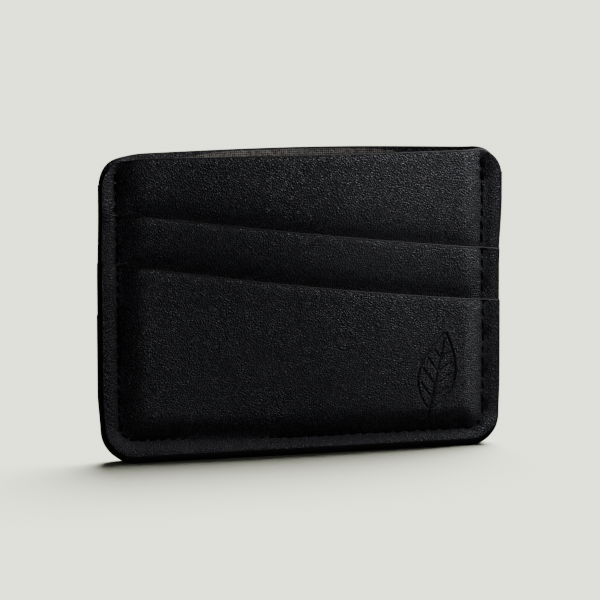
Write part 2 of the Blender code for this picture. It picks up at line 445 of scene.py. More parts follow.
    @classmethod
    def from_frame(cls) -> "Form":
        """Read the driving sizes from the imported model's nodes."""
        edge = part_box("perimeter_edge_paint")
        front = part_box("front_panel_edge_paint")
        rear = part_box("rear_panel_edge_paint")
        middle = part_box("front_middle_edge_paint")
        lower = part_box("front_lower_edge_paint")
        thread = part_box("perimeter_needle_thread")
        coat = 0.25
        rear_rise = 0.5
        seam_past_thread = 1.2
        reach = thread[1].x / MM - coat
        foot = thread[0].z / MM + coat
        return cls(
            width=2.0 * edge[1].x / MM,
            front_height=front[1].z / MM,
            rear_height=front[1].z / MM + rear_rise,
            rear_crest=rear[1].z / MM,
            middle_mouth=(middle[1].z / MM, middle[0].z / MM + coat),
            lower_mouth=(lower[1].z / MM, lower[0].z / MM + coat),
            seam=SeamLine(reach=reach, foot=foot, top=thread[1].z / MM + seam_past_thread),
        )

    def mouth(self, layer: Layer, side: Side, x: float) -> float:
        """Height of a sheet's top edge at a place across the width."""
        if layer is Layer.PANEL:
            start, end = self.front_fall if side is Side.FRONT else self.rear_fall
            fall = start + (end - start) * clamp(0.5 + x / self.width)
            if side is Side.FRONT:
                return self.front_height - fall
            crown = self.rear_crest - self.rear_height
            return self.rear_height - fall + crown * math.cos(math.pi * clamp(x / self.width, -0.5, 0.5))
        left, right = self.middle_mouth if layer is Layer.MIDDLE else self.lower_mouth
        sag = self.middle_sag if layer is Layer.MIDDLE else self.lower_sag
        across = x if side is Side.FRONT else -x
        share = clamp(0.5 + across / self.width)
        return left + (right - left) * share - sag * 4.0 * share * (1.0 - share)

    def bow(self, side: Side, x: float, z: float) -> float:
        """How far the open middle of a face bows outwards at a point."""
        if abs(x) >= self.seam.reach or z <= self.bow_foot:
            return 0.0
        front = side is Side.FRONT
        rise = self.front_bow_rise if front else self.rear_bow_rise
        full = 1.0 - math.exp((self.bow_foot - self.front_height) / rise)
        up = (1.0 - math.exp((self.bow_foot - z) / rise)) / full
        shifted = x - self.bow_skew * (1.0 - (x / self.seam.reach) ** 2)
        across = math.cos(math.pi * shifted / (2.0 * self.seam.reach)) ** self.bow_power
        return (self.front_bow if front else self.rear_bow) * across * up

    def puff(self, inward: float) -> float:
        """Share of the sheets' stand-off, rising in a rounded flank from the seam to the body."""
        return 1.0 - (1.0 - clamp((inward - self.flank_start) / self.flank)) ** self.flank_power

    def wave(self, x: float, z: float, side: Side, puff: float) -> float:
        """The slow unevenness of soft leather that isn't held down."""
        place = Vector((x / self.wave_size[0], z / self.wave_size[1], self.wave_shift * side.value))
        return self.waviness * noise.noise(place) * puff

    def margin_level(self, layer: Layer) -> float:
        """How far a sheet's outer face stands from the middle plane where the stack is pressed."""
        under = self.half_gap + self.lining
        return under + (layer.value + 1) * (self.leather + self.layer_gap)

    def from_side(self, x: float, z: float) -> float:
        """Distance inwards from the holder's sewn edges."""
        return inside_u(x, z, self.width / 2.0, 0.0, self.bottom_radius)

    def bevel_at(self, grounded: float) -> float:
        """The width of the stack's rounded edge, wider along the bottom."""
        return self.bevel + (self.bottom_bevel - self.bevel) * grounded

    def drop_at(self, grounded: float) -> float:
        """The depth of the stack's rounded edge, greater along the bottom."""
        return self.bevel + (self.bottom_drop - self.bevel) * grounded

    def bevelled(self, distance: float, grounded: float) -> float:
        """How far the rounded edge of the stack drops at a distance in from the sewn edges."""
        left = clamp(1.0 - distance / self.bevel_at(grounded))
        return self.drop_at(grounded) * (1.0 - math.sqrt(1.0 - left**2))

    def rolled(self, side: Side, x: float, z: float, inward: float) -> float:
        """How far the margin swells outwards again beside the tight seam.

        It swells most along the bottom and at the shoulder where the middle slot's high corner pulls it.
        """
        out = clamp((-inward - self.roll_start) / self.margin_width)
        low = clamp((self.seam.foot + self.seam.radius - z) / self.seam.radius)
        across = x if side is Side.FRONT else -x
        shoulder = ease((z - self.shoulder_from) / self.shoulder_rise) if across < 0.0 else 0.0
        upright = self.side_roll if across < 0.0 else self.right_roll
        slope = upright + (self.bottom_roll - upright) * low
        slope += (self.shoulder_roll - upright) * shoulder
        return slope * self.margin_width * (out - 0.5 * out * out)

    def tucked(self, layer: Layer, side: Side, x: float, z: float) -> float:
        """How far a sheet tucks in behind the pocket in front of it."""
        if layer is Layer.LOWER:
            return 0.0
        above = z - self.mouth(Layer(layer.value + 1), side, x)
        middle = layer is Layer.MIDDLE
        depth = self.tuck if middle else self.panel_tuck * self.tuck
        reach = self.tuck_reach if middle else self.panel_tuck_reach * self.tuck_reach
        return depth * math.exp(-max(0.0, above) / reach)

    def outer(self, layer: Layer, side: Side, x: float, z: float) -> float:
        """Distance from the middle plane to a sheet's outer face, before its seam and edges."""
        inward, _ = self.seam.locate(x, z)
        puff = self.puff(inward)
        ease_out = self.cavity_half + self.lining_ease + self.pocket_ease * layer.value
        level = self.margin_level(layer) + self.bow(side, x, z) + self.rolled(side, x, z, inward)
        level += puff * (ease_out - self.tucked(layer, side, x, z))
        if layer is not Layer.PANEL:
            below = max(0.0, self.mouth(layer, side, x) - z)
            level += self.lip_flare * puff * math.exp(-below / self.lip_reach)
        left = clamp(1.0 - (self.mouth(layer, side, x) - z) / self.lip_turn_reach)
        level -= self.lip_turn * puff * left**2
        return level + self.wave(x, z, side, puff)

    def inner(self, layer: Layer, side: Side, x: float, z: float) -> float:
        """Distance from the middle plane to a sheet's inner face."""
        return self.outer(layer, side, x, z) - self.leather

    def place(self, x: float, y: float, z: float) -> Vector:
        """A finished point in metres, with each corner drawn in or flared a little."""
        high = ease((z - self.flare_from) / self.flare_rise)
        low = ease((self.taper_from - z) / self.taper_rise)
        near_edge = ease((abs(x) - self.seam.reach + self.lean_start) / self.lean_width)
        if x > 0.0:
            shift = self.flare * high - self.right_taper * low
            (peak, spread), height = self.right_rise_place, self.right_rise
        else:
            shift = self.left_shoulder * high + self.left_taper * low
            (peak, spread), height = self.left_droop_place, -self.left_droop
        rise = height * bell(x - peak, spread) * high
        return Vector((x + shift * near_edge, y, z + rise)) * MM


@dataclass
class Stitching:
    """The stitch line's effect on the leather: a groove, a raised rim and a bridge at each needle hole.

    Attributes:
        form: The shape that it is sewn on.
        groove_depth: Depth that the thread pulls the leather down.
        margin_width: Width of the groove's slope on the margin's side.
        body_width: The same on the body's side.
        ridge_height: Height of the rim that rises beside the groove.
        ridge_place: Where it rises, inwards from the seam.
        ridge_width: Its width.
        ridge_plain: Share of its height between the needle holes.
        bridge_width: Half width of the leather left up between two stitches.
        bridge_reach: How far inwards a bridge reaches.
        bridge_fade: Distance over which it ends.
        bridge_fill: Share of the groove's depth that it fills.
        slant: How far the bridges slant.
        tack_length: Length sewn twice at each end of the seam.
        tack_deeper: How much deeper the groove is there.
        tack_wider: How much wider.
        tack_hides: Share of a bridge that the double thread hides.
        span: Distance from the seam past which it has no effect.
        run_out: Height above the seam's top at which the groove is gone.
        run_out_fade: Height over which it fades out.
        holes: Distances along the seam of the needle holes.
    """

    form: Form
    groove_depth: float = 0.55
    margin_width: float = 0.5
    body_width: float = 0.62
    ridge_height: float = 0.11
    ridge_place: float = -0.95
    ridge_width: float = 0.42
    ridge_plain: float = 0.65
    bridge_width: float = 0.3
    bridge_reach: float = 0.95
    bridge_fade: float = 0.7
    bridge_fill: float = 0.92
    slant: float = 0.45
    tack_length: float = 6.5
    tack_deeper: float = 0.3
    tack_wider: float = 0.5
    tack_hides: float = 0.85
    span: float = 3.0
    run_out: float = 0.6
    run_out_fade: float = 0.8
    holes: list[float] = field(init=False)

    def __post_init__(self) -> None:
        """Place the needle holes once."""
        self.holes = self.form.seam.holes()

    def nearest_hole(self, along: float) -> float:
        """Signed distance along the seam to the nearest needle hole."""
        index = bisect_left(self.holes, along)
        around = self.holes[max(0, index - 1) : index + 1]
        return min((along - hole for hole in around), key=abs)

    def tacked(self, along: float) -> float:
        """1 along the back-tacked ends of the seam, where the thread lies double, and 0 elsewhere."""
        return ease(self.tack_length - min(along, self.form.seam.length - along))

    def relief(self, x: float, z: float) -> float:
        """Height that the seam adds to the leather at a point."""
        inward, along = self.form.seam.locate(x, z)
        if abs(inward) > self.span:
            return 0.0
        end = ease((self.form.seam.top + self.run_out - z) / self.run_out_fade)
        tack = self.tacked(along)
        width = (self.margin_width if inward < 0.0 else self.body_width) * (1.0 + self.tack_wider * tack)
        groove = self.groove_depth * (1.0 + self.tack_deeper * tack) * bell(inward, width)
        bridge = bell(self.nearest_hole(along - self.slant * inward), self.bridge_width)
        held = ease((self.bridge_reach - inward) / self.bridge_fade) * (1.0 - self.tack_hides * tack)
        ridge = self.ridge_height * bell(inward - self.ridge_place, self.ridge_width)
        ridge *= self.ridge_plain + (1.0 - self.ridge_plain) * bridge
        return end * (ridge - groove * (1.0 - self.bridge_fill * bridge * held))


def new_material(name: str) -> tuple[bpy.types.Material, bpy.types.ShaderNode]:
    """An empty node material and its Principled shader."""
    material = bpy.data.materials.new(name)
    material.use_nodes = True
    return material, material.node_tree.nodes["Principled BSDF"]


def linear(colour: str) -> tuple[float, float, float, float]:
    """An sRGB hex colour as linear values with full alpha."""
    channels = [int(colour[start : start + 2], 16) / 255.0 for start in (1, 3, 5)]
    values = [c / 12.92 if c <= 0.04045 else ((c + 0.055) / 1.055) ** 2.4 for c in channels]
    return (*values, 1.0)


def add_node(
    material: bpy.types.Material,
    kind: str,
    settings: dict[str, object] | None = None,
    inputs: dict[str | int, object] | None = None,
) -> bpy.types.ShaderNode:
    """Add a node with its settings, and set or link its inputs.

    Args:
        material: The material whose tree gets the node.
        kind: The node's type, without the ShaderNode prefix.
        settings: Properties of the node.
        inputs: Values, or sockets to link from, by the input's name or index.

    Returns:
        The new node.
    """
    tree = material.node_tree
    node = tree.nodes.new("ShaderNode" + kind)
    for name, value in (settings or {}).items():
        setattr(node, name, value)
    for key, value in (inputs or {}).items():
        if isinstance(value, bpy.types.NodeSocket):
            tree.links.new(value, node.inputs[key])
        else:
            node.inputs[key].default_value = value
    return node


def per(size: float) -> float:
    """The scale of a noise or cell pattern whose features have a size in millimetres."""
    return 1.0 / (size * MM)


def bands(pitch: float) -> float:
    """The scale of a wave pattern whose bands have a pitch in millimetres."""
    return 0.314 / (pitch * MM)


@dataclass(frozen=True)
class LeatherFinish:
    """Drum-dyed, plated calf leather: near black, with a fine tight grain, flatter where it is pressed.

    Attributes:
        name: The material's name.
        colour: Colour of the grain's tops.
        crease_shade: Colour down in the creases, darker than the tops as painted shade in the grain's
            hollows.
        grain: Mean width of a grain cell.
        top: Distance from a crease, as a share of a cell, at which the grain is flat.
        warp: Size of the wander in the grain.
        warp_depth: How far it wanders.
        pore: Size of the pores in the grain's tops.
        pore_share: Their depth as a share of the creases'.
        relief: Depth of the grain.
        pressed_relief: The same on the pressed margin, as a share.
        patch: Size of the duller and glossier patches.
        patch_range: How much rougher or smoother they are.
        roughness: Roughness of the body.
        pressed_roughness: Roughness of the pressed margin.
        specular: Specular level, that of plain resin, because the plated grain is a resin film.
        tint: Colour of the highlights, faintly blue from the dye.
    """

    name: str = "plated_calf_leather_black"
    colour: str = "#101015"
    crease_shade: str = "#060608"
    grain: float = 0.56
    top: float = 0.3
    warp: float = 1.6
    warp_depth: float = 0.35
    pore: float = 0.28
    pore_share: float = 0.9
    relief: float = 0.125
    pressed_relief: float = 0.72
    patch: float = 7.0
    patch_range: float = 0.06
    roughness: float = 0.42
    pressed_roughness: float = 0.37
    specular: float = 0.5
    tint: str = "#f4f4ff"

    def grain_nodes(
        self, material: bpy.types.Material, place: bpy.types.NodeSocket
    ) -> tuple[bpy.types.NodeSocket, bpy.types.NodeSocket]:
        """Add the grain's pattern.

        Args:
            material: The material whose tree gets the nodes.
            place: The socket of object coordinates.

        Returns:
            The share of each point that is a top of the grain, and the whole relief.
        """
        warp = add_node(material, "TexNoise", None, {"Vector": place, "Scale": per(self.warp), "Detail": 2.0})
        bend = {0: warp.outputs["Color"], 1: (self.warp_depth * MM,) * 3, 2: place}
        bent = add_node(material, "VectorMath", {"operation": "MULTIPLY_ADD"}, bend).outputs["Vector"]
        # The cells are about half as wide again as the finest calf grain, so that they show at this size.
        spots = {"Vector": bent, "Scale": per(self.grain)}
        cells = add_node(material, "TexVoronoi", {"feature": "DISTANCE_TO_EDGE"}, spots).outputs["Distance"]
        smooth = {"interpolation_type": "SMOOTHSTEP"}
        rounding = {"Value": cells, "From Max": self.top}
        tops = add_node(material, "MapRange", smooth, rounding).outputs["Result"]
        spots = {"Vector": place, "Scale": per(self.pore), "Detail": 3.0}
        pores = add_node(material, "TexNoise", None, spots).outputs["Fac"]
        mix = {0: pores, 1: self.pore_share, 2: tops}
        return tops, add_node(material, "Math", {"operation": "MULTIPLY_ADD"}, mix).outputs["Value"]

    def build(self) -> bpy.types.Material:
        """Make the material."""
        material, shader = new_material(self.name)
        place = add_node(material, "TexCoord").outputs["Object"]
        pressed = add_node(material, "Attribute", {"attribute_name": "pressed"}).outputs["Fac"]
        tops, relief = self.grain_nodes(material, place)
        spots = {"Vector": place, "Scale": per(self.patch), "Detail": 3.0}
        patches = add_node(material, "TexNoise", None, spots).outputs["Fac"]
        flatten = {"Value": pressed, "To Min": 1.0, "To Max": self.pressed_relief}
        strength = add_node(material, "MapRange", None, flatten).outputs["Result"]
        raised = {"Height": relief, "Strength": strength, "Distance": self.relief * MM}
        bump = add_node(material, "Bump", None, raised)
        # The grain's creases are coloured darker than its tops: painted shade in the hollows of the grain.
        ends = {"Factor": tops, 6: linear(self.crease_shade), 7: linear(self.colour)}
        shade = add_node(material, "Mix", {"data_type": "RGBA"}, ends).outputs[2]
        low, high = self.roughness - self.patch_range, self.roughness + self.patch_range
        body = add_node(material, "MapRange", None, {"Value": patches, "To Min": low, "To Max": high})
        ends = {"Factor": pressed, 2: body.outputs["Result"], 3: self.pressed_roughness}
        rough = add_node(material, "Mix", {"data_type": "FLOAT"}, ends).outputs[0]
        links = material.node_tree.links
        links.new(shade, shader.inputs["Base Color"])
        links.new(rough, shader.inputs["Roughness"])
        links.new(bump.outputs["Normal"], shader.inputs["Normal"])
        shader.inputs["Specular IOR Level"].default_value = self.specular
        shader.inputs["Specular Tint"].default_value = linear(self.tint)
        return material


@dataclass(frozen=True)
class PaintFinish:
    """Acrylic edge paint, laid on in coats and rubbed smooth: black with a satin skin.

    Attributes:
        name: The material's name.
        colour: Its colour.
        run: Size of the slight runs in the coat.
        relief: Their height.
        smoothest: Its lowest roughness.
        roughest: Its highest roughness.
        specular: Specular level, low because the rubbed skin is finely scratched.
    """

    name: str = "acrylic_edge_paint_black"
    colour: str = "#060607"
    run: float = 1.1
    relief: float = 0.04
    smoothest: float = 0.45
    roughest: float = 0.58
    specular: float = 0.2

    def build(self) -> bpy.types.Material:
        """Make the material."""
        material, shader = new_material(self.name)
        place = add_node(material, "TexCoord").outputs["Object"]
        spots = {"Vector": place, "Scale": per(self.run), "Detail": 2.0}
        runs = add_node(material, "TexNoise", None, spots).outputs["Fac"]
        raised = {"Height": runs, "Strength": 0.35, "Distance": self.relief * MM}
        bump = add_node(material, "Bump", None, raised)
        ends = {"Value": runs, "To Min": self.smoothest, "To Max": self.roughest}
        rough = add_node(material, "MapRange", None, ends)
        links = material.node_tree.links
        links.new(bump.outputs["Normal"], shader.inputs["Normal"])
        links.new(rough.outputs["Result"], shader.inputs["Roughness"])
        shader.inputs["Base Color"].default_value = linear(self.colour)
        shader.inputs["Specular IOR Level"].default_value = self.specular
        return material


@dataclass(frozen=True)
class LiningFinish:
    """Plain-woven polyester lining in a grey-brown mix of yarns, matt and flecked.

    Attributes:
        name: The material's name.
        light: Colour of the light yarns.
        dark: Colour of the dark yarns and of the gaps.
        yarn: Spacing of the yarns.
        fleck: Size of the flecks.
        blend: Range of the mixed pattern that runs from dark to light.
        relief: Height of the weave.
        roughness: Roughness.
        sheen: Strength of the fibres' sheen.
    """

    name: str = "plain_woven_lining_grey"
    light: str = "#8f8b86"
    dark: str = "#100f0f"
    yarn: float = 0.5
    fleck: float = 0.7
    blend: tuple[float, float] = (0.46, 0.84)
    relief: float = 0.08
    roughness: float = 0.9
    sheen: float = 0.2

    def build(self) -> bpy.types.Material:
        """Make the material."""
        material, shader = new_material(self.name)
        place = add_node(material, "TexCoord").outputs["Object"]
        # The yarns are drawn about twice as wide as real lining yarns, so that they show at this size.
        lines = {"Vector": place, "Scale": bands(self.yarn), "Distortion": 0.6}
        weave = []
        for way in ("X", "Z"):
            bands_way = {"bands_direction": way, "wave_profile": "SIN"}
            weave.append(add_node(material, "TexWave", bands_way, lines).outputs["Fac"])
        crossed = add_node(material, "Math", {"operation": "MULTIPLY"}, {0: weave[0], 1: weave[1]})
        cloth = crossed.outputs["Value"]
        spots = {"Vector": place, "Scale": per(self.fleck), "Detail": 3.0}
        flecks = add_node(material, "TexNoise", None, spots).outputs["Fac"]
        mixed = add_node(material, "Math", {"operation": "MULTIPLY_ADD"}, {0: cloth, 1: 0.5, 2: flecks})
        low, high = self.blend
        span = {"Value": mixed.outputs["Value"], "From Min": low, "From Max": high}
        mask = add_node(material, "MapRange", None, span).outputs["Result"]
        ends = {"Factor": mask, 6: linear(self.dark), 7: linear(self.light)}
        shade = add_node(material, "Mix", {"data_type": "RGBA"}, ends).outputs[2]
        raised = {"Height": cloth, "Strength": 0.6, "Distance": self.relief * MM}
        bump = add_node(material, "Bump", None, raised)
        links = material.node_tree.links
        links.new(shade, shader.inputs["Base Color"])
        links.new(bump.outputs["Normal"], shader.inputs["Normal"])
        shader.inputs["Roughness"].default_value = self.roughness
        shader.inputs["Sheen Weight"].default_value = self.sheen
        return material


@dataclass(frozen=True)
class ThreadFinish:
    """Bonded nylon sewing thread, three twisted plies in black with a dull wax.

    Attributes:
        name: The material's name.
        colour: Its colour.
        ply: Spacing of the twist.
        relief: Height of the plies.
        roughness: Roughness.
        specular: Specular level, low because of the wax.
    """

    name: str = "bonded_nylon_thread_black"
    colour: str = "#060607"
    ply: float = 0.35
    relief: float = 0.06
    roughness: float = 0.8
    specular: float = 0.15

    def build(self) -> bpy.types.Material:
        """Make the material."""
        material, shader = new_material(self.name)
        place = add_node(material, "TexCoord").outputs["Object"]
        lines = {"Vector": place, "Scale": bands(self.ply), "Distortion": 0.4}
        twist = add_node(material, "TexWave", {"bands_direction": "DIAGONAL"}, lines).outputs["Fac"]
        raised = {"Height": twist, "Strength": 0.7, "Distance": self.relief * MM}
        bump = add_node(material, "Bump", None, raised)
        material.node_tree.links.new(bump.outputs["Normal"], shader.inputs["Normal"])
        shader.inputs["Base Color"].default_value = linear(self.colour)
        shader.inputs["Roughness"].default_value = self.roughness
        shader.inputs["Specular IOR Level"].default_value = self.specular
        return material


@dataclass(frozen=True)
class FloorFinish:
    """Matt painted paper sweep in a pale warm grey.

    Attributes:
        name: The material's name.
        colour: Its colour.
    """

    name: str = "matt_paper_sweep_pale_grey"
    colour: str = "#dee1cd"

    def build(self) -> bpy.types.Material:
        """Make the material."""
        material, shader = new_material(self.name)
        shader.inputs["Base Color"].default_value = linear(self.colour)
        shader.inputs["Roughness"].default_value = 1.0
        shader.inputs["Specular IOR Level"].default_value = 0.0
        return material


@dataclass
class Finishes:
    """The object's materials, each made once.

    Attributes:
        leather: The panels and pockets.
        paint: Every painted edge.
        lining: The two linings.
        thread: Every seam.
    """

    leather: bpy.types.Material = field(default_factory=lambda: LeatherFinish().build())
    paint: bpy.types.Material = field(default_factory=lambda: PaintFinish().build())
    lining: bpy.types.Material = field(default_factory=lambda: LiningFinish().build())
    thread: bpy.types.Material = field(default_factory=lambda: ThreadFinish().build())


def place_mesh(
    name: str,
    mesh: bpy.types.Mesh,
    material: bpy.types.Material,
    nodes: Iterable[str],
) -> bpy.types.Object:
    """Put a finished mesh in the scene, riding on the holder and standing for its CAD nodes.

    Args:
        name: The piece's name.
        mesh: Its mesh, in metres and in place.
        material: Its finish.
        nodes: The CAD nodes that it stands for.

    Returns:
        The new object.
    """
    mesh.materials.clear()
    mesh.materials.append(material)
    mesh.shade_smooth()
    mesh.set_sharp_from_angle(angle=math.radians(55.0))
    piece = bpy.data.objects.new(name, mesh)
    bpy.context.scene.collection.objects.link(piece)
    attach(piece, BODY)
    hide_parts(*nodes)
    LOG.info("%s: %d faces", name, len(mesh.polygons))
    return piece


def far_side(bm: bmesh.types.BMesh) -> list[bmesh.types.BMVert]:
    """Extrude every face of a flat mesh and return the new face's points."""
    made = bmesh.ops.extrude_face_region(bm, geom=bm.faces[:])
    return [item for item in made["geom"] if isinstance(item, bmesh.types.BMVert)]


def closed_mesh(bm: bmesh.types.BMesh, name: str) -> bpy.types.Mesh:
    """Turn a closed bmesh's faces outwards and keep it as a mesh."""
    bmesh.ops.recalc_face_normals(bm, faces=bm.faces[:])
    mesh = bpy.data.meshes.new(name)
    bm.to_mesh(mesh)
    bm.free()
    return mesh


@dataclass
class SheetMaker:
    """Cuts flat sheets to the holder's outline and lays them over the form.

    Attributes:
        form: The shape to follow.
        stitching: The seam's effect on the leather.
        station: Spacing of points round the sewn sides.
        mouth_station: Spacing of points along a mouth.
        merge: Distance under which points of one ring are merged.
        rings: Steps inwards from the cut edge, close together at the edge and at the seam.
        cell: Size of a cell in the open middle.
        fine_cell: Size of a cell where the leaf is pressed.
        short: How much lower than the form's mouth the top edge is cut, at mid-width.
        shoulder_short: The same at the shoulders.
        short_from: Distance from the middle at which it begins to be cut lower.
        short_fade: Width over which that grows.
    """

    form: Form
    stitching: Stitching
    station: float = 0.24
    mouth_station: float = 0.8
    merge: float = 0.05
    rings: tuple[float, ...] = (
        *(0.06, 0.12, 0.2, 0.32, 0.8, 0.7, 0.4, 0.25, 0.2, 0.2, 0.18, 0.18, 0.18, 0.18),
        *(0.2,) * 7,
        *(0.25, 0.48, 0.7, 1.0),
    )
    cell: float = 1.3
    fine_cell: float = 0.22
    short: float = 0.0
    shoulder_short: float = 0.0
    short_from: float = 17.0
    short_fade: float = 12.0

    def outline(self, layer: Layer, side: Side) -> bmesh.types.BMesh:
        """One flat face with the sheet's outline, drawn in the XY plane with rounded corners.

        Args:
            layer: Which sheet.
            side: Which face of the holder.

        Returns:
            A bmesh with that face.
        """
        form = self.form
        inset = form.edge_inset
        reach = form.width / 2.0 - inset
        bm = bmesh.new()
        bm.verts.layers.float.new("from_edge")
        bm.verts.layers.float.new("pressed")
        bm.faces.layers.int.new("cut")
        bmesh.ops.create_grid(bm, x_segments=1, y_segments=1, size=1.0)
        for vert in bm.verts:
            x = math.copysign(reach, vert.co.x)
            top = form.mouth(layer, side, x) - inset
            vert.co = (x, inset if vert.co.y < 0.0 else top, 0.0)
        middle = form.front_height / 3.0
        for low, radius in ((True, form.bottom_radius), (False, form.top_radius)):
            if not low and layer is not Layer.PANEL:
                continue
            ends = [vert for vert in bm.verts if reach - abs(vert.co.x) < 0.001]
            bmesh.ops.bevel(
                bm,
                geom=[vert for vert in ends if (vert.co.y < middle) is low],
                offset=radius - inset,
                segments=round((radius - inset) * math.pi / 2.0 / self.station),
                profile=0.5,
                affect="VERTICES",
                material=-1,
            )
        for edge in list(bm.edges):
            step = self.mouth_station if self.is_mouth(edge, reach) else self.station
            cuts = round(edge.calc_length() / step) - 1
            if cuts > 0:
                bmesh.ops.subdivide_edges(bm, edges=[edge], cuts=cuts)
        self.shape_mouth(bm, layer, side)
        return bm

    def is_mouth(self, edge: bmesh.types.BMEdge, reach: float) -> bool:
        """Whether an outline edge runs along the sheet's mouth."""
        across = abs(edge.verts[0].co.x - edge.verts[1].co.x)
        return across > reach and min(vert.co.y for vert in edge.verts) > self.form.front_height / 3.0

    def shape_mouth(self, bm: bmesh.types.BMesh, layer: Layer, side: Side) -> None:
        """Bend the straight top edge to the mouth's own line."""
        form = self.form
        reach = form.width / 2.0 - form.edge_inset
        ends = [form.mouth(layer, side, x) for x in (-reach, reach)]
        for vert in bm.verts:
            share = clamp(0.5 + vert.co.x / (2.0 * reach))
            straight = ends[0] + (ends[1] - ends[0]) * share
            depth = ease((vert.co.y - straight + form.top_radius + 2.0) / 2.0)
            vert.co.y += depth * (form.mouth(layer, side, vert.co.x) - straight - self.shortened(vert.co.x))

    def shortened(self, x: float) -> float:
        """How much lower the top edge is cut than the form's mouth, more towards the shoulders."""
        share = ease((abs(x) - self.short_from) / self.short_fade)
        return self.short + (self.shoulder_short - self.short) * share

    def ring(self, bm: bmesh.types.BMesh) -> bmesh.types.BMLayerItem:
        """Add rings inwards from the outline.

        Args:
            bm: A bmesh with one flat face.

        Returns:
            The layer that holds each point's distance in from the cut edge.
        """
        distance = bm.verts.layers.float["from_edge"]
        middle = bm.faces[:][0]
        total = 0.0
        for step in self.rings:
            bmesh.ops.inset_region(bm, faces=[middle], thickness=step, use_even_offset=True)
            bmesh.ops.remove_doubles(bm, verts=middle.verts[:], dist=self.merge)
            total += step
            for vert in middle.verts:
                vert[distance] = total
        self.divide(bm, [middle], self.cell)
        return distance

    def divide(self, bm: bmesh.types.BMesh, faces: list[bmesh.types.BMFace], cell: float) -> None:
        """Cut faces into square cells by straight cuts both ways."""
        mark = bm.faces.layers.int["cut"]
        for face in bm.faces:
            face[mark] = 0
        for face in faces:
            face[mark] = 1
        spots = [vert.co for face in faces for vert in face.verts]
        for axis in (0, 1):
            low = min(spot[axis] for spot in spots)
            high = max(spot[axis] for spot in spots)
            count = max(1, round((high - low) / cell))
            normal = Vector((1.0, 0.0, 0.0)) if axis == 0 else Vector((0.0, 1.0, 0.0))
            for number in range(1, count):
                marked = [face for face in bm.faces if face[mark] == 1]
                edges = {edge for face in marked for edge in face.edges}
                verts = {vert for face in marked for vert in face.verts}
                bmesh.ops.bisect_plane(
                    bm,
                    geom=[*verts, *edges, *marked],
                    dist=0.001,
                    plane_co=normal * (low + (high - low) * number / count),
                    plane_no=normal,
                )

    def refine_leaf(self, bm: bmesh.types.BMesh) -> None:
        """Cut the cells round the leaf mark finely enough to press it in."""
        leaf = self.form.leaf
        half_x = leaf.width / 2.0 + 2.0
        half_z = leaf.height / 2.0 + leaf.stem + 0.5
        near = []
        for face in bm.faces:
            centre = face.calc_center_median()
            if abs(centre.x - leaf.centre_x) < half_x and abs(centre.y - leaf.centre_z) < half_z:
                near.append(face)
        self.divide(bm, near, self.fine_cell)

    def closed_sheet(
        self,
        layer: Layer,
        side: Side,
        outer: Callable[[float, float, float], float],
        inner: Callable[[float, float, float], float],
        leaf: bool = False,
        pressed: bool = True,
    ) -> bpy.types.Mesh:
        """A closed sheet between two faces of the form.

        Args:
            layer: Which outline it has.
            side: Which face of the holder.
            outer: Distance from the middle plane to its outer face, from x, z and distance from the edge.
            inner: The same for its inner face.
            leaf: Whether to cut it finely for the leaf mark.
            pressed: Whether to note how firmly each point is pressed.

        Returns:
            The mesh, in metres and in place.
        """
        bm = self.outline(layer, side)
        distance = self.ring(bm)
        if leaf:
            self.refine_leaf(bm)
        near = list(bm.verts)
        far = far_side(bm)
        press = bm.verts.layers.float["pressed"]
        for verts, face in ((near, outer), (far, inner)):
            for vert in verts:
                x, z, edge = vert.co.x, vert.co.y, vert[distance]
                if pressed:
                    vert[press] = 1.0 - ease((self.form.seam.locate(x, z)[0] + 0.6) / 1.6)
                vert.co = self.form.place(x, side.value * face(x, z, edge), z)
        return closed_mesh(bm, "sheet")


def tube_mesh(
    form: Form,
    runs: Iterable[Run],
    radius: float,
    resolution: int = 2,
) -> bpy.types.Mesh:
    """A mesh of round tubes, one along each run of points.

    Args:
        form: The form that the tubes lie on.
        runs: Points in millimetres, one list for each tube.
        radius: The tubes' radius.
        resolution: Bevel resolution.

    Returns:
        The mesh, in metres and in place.
    """
    curve = bpy.data.curves.new("tube", "CURVE")
    curve.dimensions = "3D"
    curve.bevel_depth = radius * MM
    curve.bevel_resolution = resolution
    curve.use_fill_caps = True
    for run in runs:
        spline = curve.splines.new("POLY")
        spline.points.add(len(run) - 1)
        for point, spot in zip(spline.points, run):
            point.co = (*form.place(*spot), 1.0)
    holder = bpy.data.objects.new("tube", curve)
    mesh = bpy.data.meshes.new_from_object(holder)
    bpy.data.objects.remove(holder)
    bpy.data.curves.remove(curve)
    return mesh


